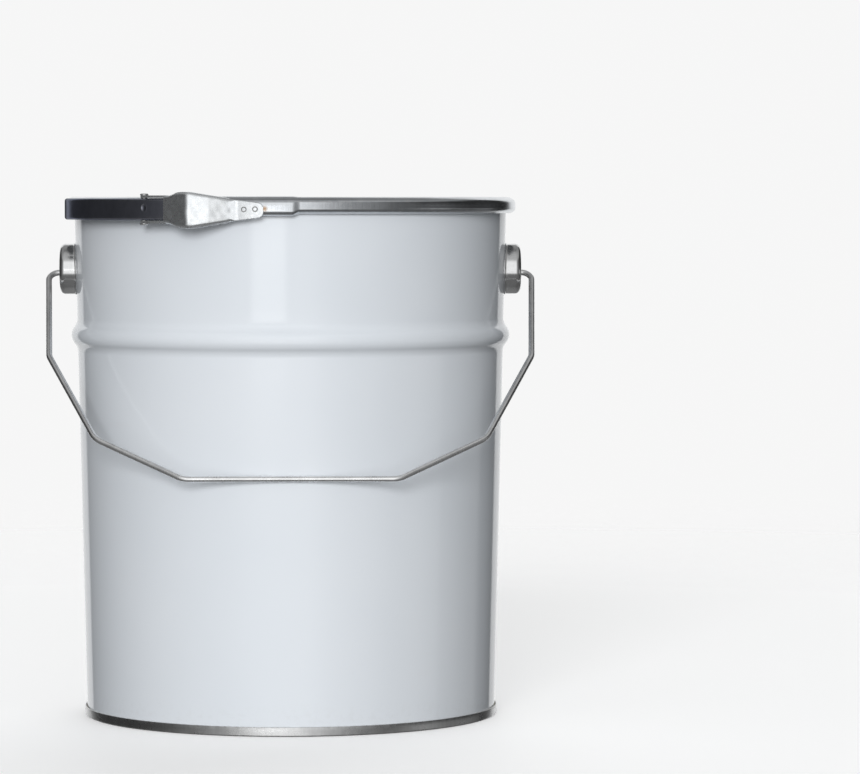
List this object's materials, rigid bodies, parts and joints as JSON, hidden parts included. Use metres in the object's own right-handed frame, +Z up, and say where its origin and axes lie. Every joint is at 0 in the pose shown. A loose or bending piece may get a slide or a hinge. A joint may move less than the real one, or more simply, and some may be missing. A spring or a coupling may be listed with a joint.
{
  "type": "paint can",
  "caption": "Tall slightly tapered steel pail with a rolled bead, recessed lid, lever locking ring, pressed ear cups and a bent wire handle.",
  "frame": {"origin": "centre of the base rim, on the surface that the pail stands on", "axes": "+Z up; -Y is the front, where the latch and the resting handle are; +X is the right-hand ear cup seen from the front"},
  "size_m": [0.3254, 0.3012, 0.3483],
  "materials": {
    "white_lacquer": "gloss",
    "base_tinplate": "satin",
    "seam_compound": "matte",
    "ear_tinplate": "bright",
    "zinc_wire": "satin",
    "lid_tinplate": "bright",
    "gasket": "matte",
    "ring_steel": "bright",
    "latch_steel": "satin",
    "weld": "matte",
    "rivet": "satin",
    "lever_steel": "bright",
    "bracket_galvanised": "satin"
  },
  "bodies": {
    "pail": {"body_shell": "white_lacquer", "bottom_end": "base_tinplate", "bottom_seam_compound": "seam_compound", "ear_left": "ear_tinplate", "ear_right": "ear_tinplate"},
    "bail": {"bail_wire": "zinc_wire"},
    "lid": {"lid_panel": "lid_tinplate", "lid_gasket": "gasket"},
    "ring": {"ring_band_main": "ring_steel", "hinge_lug": "latch_steel", "lug_spot_welds": "weld", "lever_pivot_rivet": "rivet"},
    "ring_free": {"ring_band_free": "ring_steel"},
    "lever": {"closure_lever": "lever_steel"},
    "bracket": {"closure_bracket": "bracket_galvanised", "bracket_spot_welds": "weld", "link_rivet": "rivet"}
  },
  "joints": [
    {"name": "bail_swing", "type": "hinge", "parent": "pail", "child": "bail", "pos_m": [0, 0, 0.2945], "axis": [-1, 0, 0], "range_deg": [0, 264.4]},
    {"name": "lid_lift", "type": "slide", "parent": "pail", "child": "lid", "axis": [0, 0, 1], "range_m": [0, 0.12]},
    {"name": "ring_lift", "type": "slide", "parent": "lid", "child": "ring", "axis": [0, 0, 1], "range_m": [0, 0.06]},
    {"name": "ring_spread", "type": "hinge", "parent": "ring", "child": "ring_free", "pos_m": [0.14645, 0.03054, 0.339], "axis": [0, 0, 1], "range_deg": [0, 13.48], "deforming": ["ring_band_free", "ring_band_main"]},
    {"name": "lever_open", "type": "hinge", "parent": "ring", "child": "lever", "pos_m": [-0.06296, -0.1401, 0.337], "axis": [0, 0, 1], "range_deg": [0, 140]},
    {"name": "link_swing", "type": "hinge", "parent": "lever", "child": "bracket", "pos_m": [-0.0934, -0.12194, 0.337], "axis": [0, 0, 1], "range_deg": [-126.56, 0]}
  ],
  "couplings": [
    {"joint": "ring_spread", "follows": "lever_open", "ratio": 0.096135},
    {"joint": "link_swing", "follows": "lever_open", "ratio": -0.90387}
  ]
}
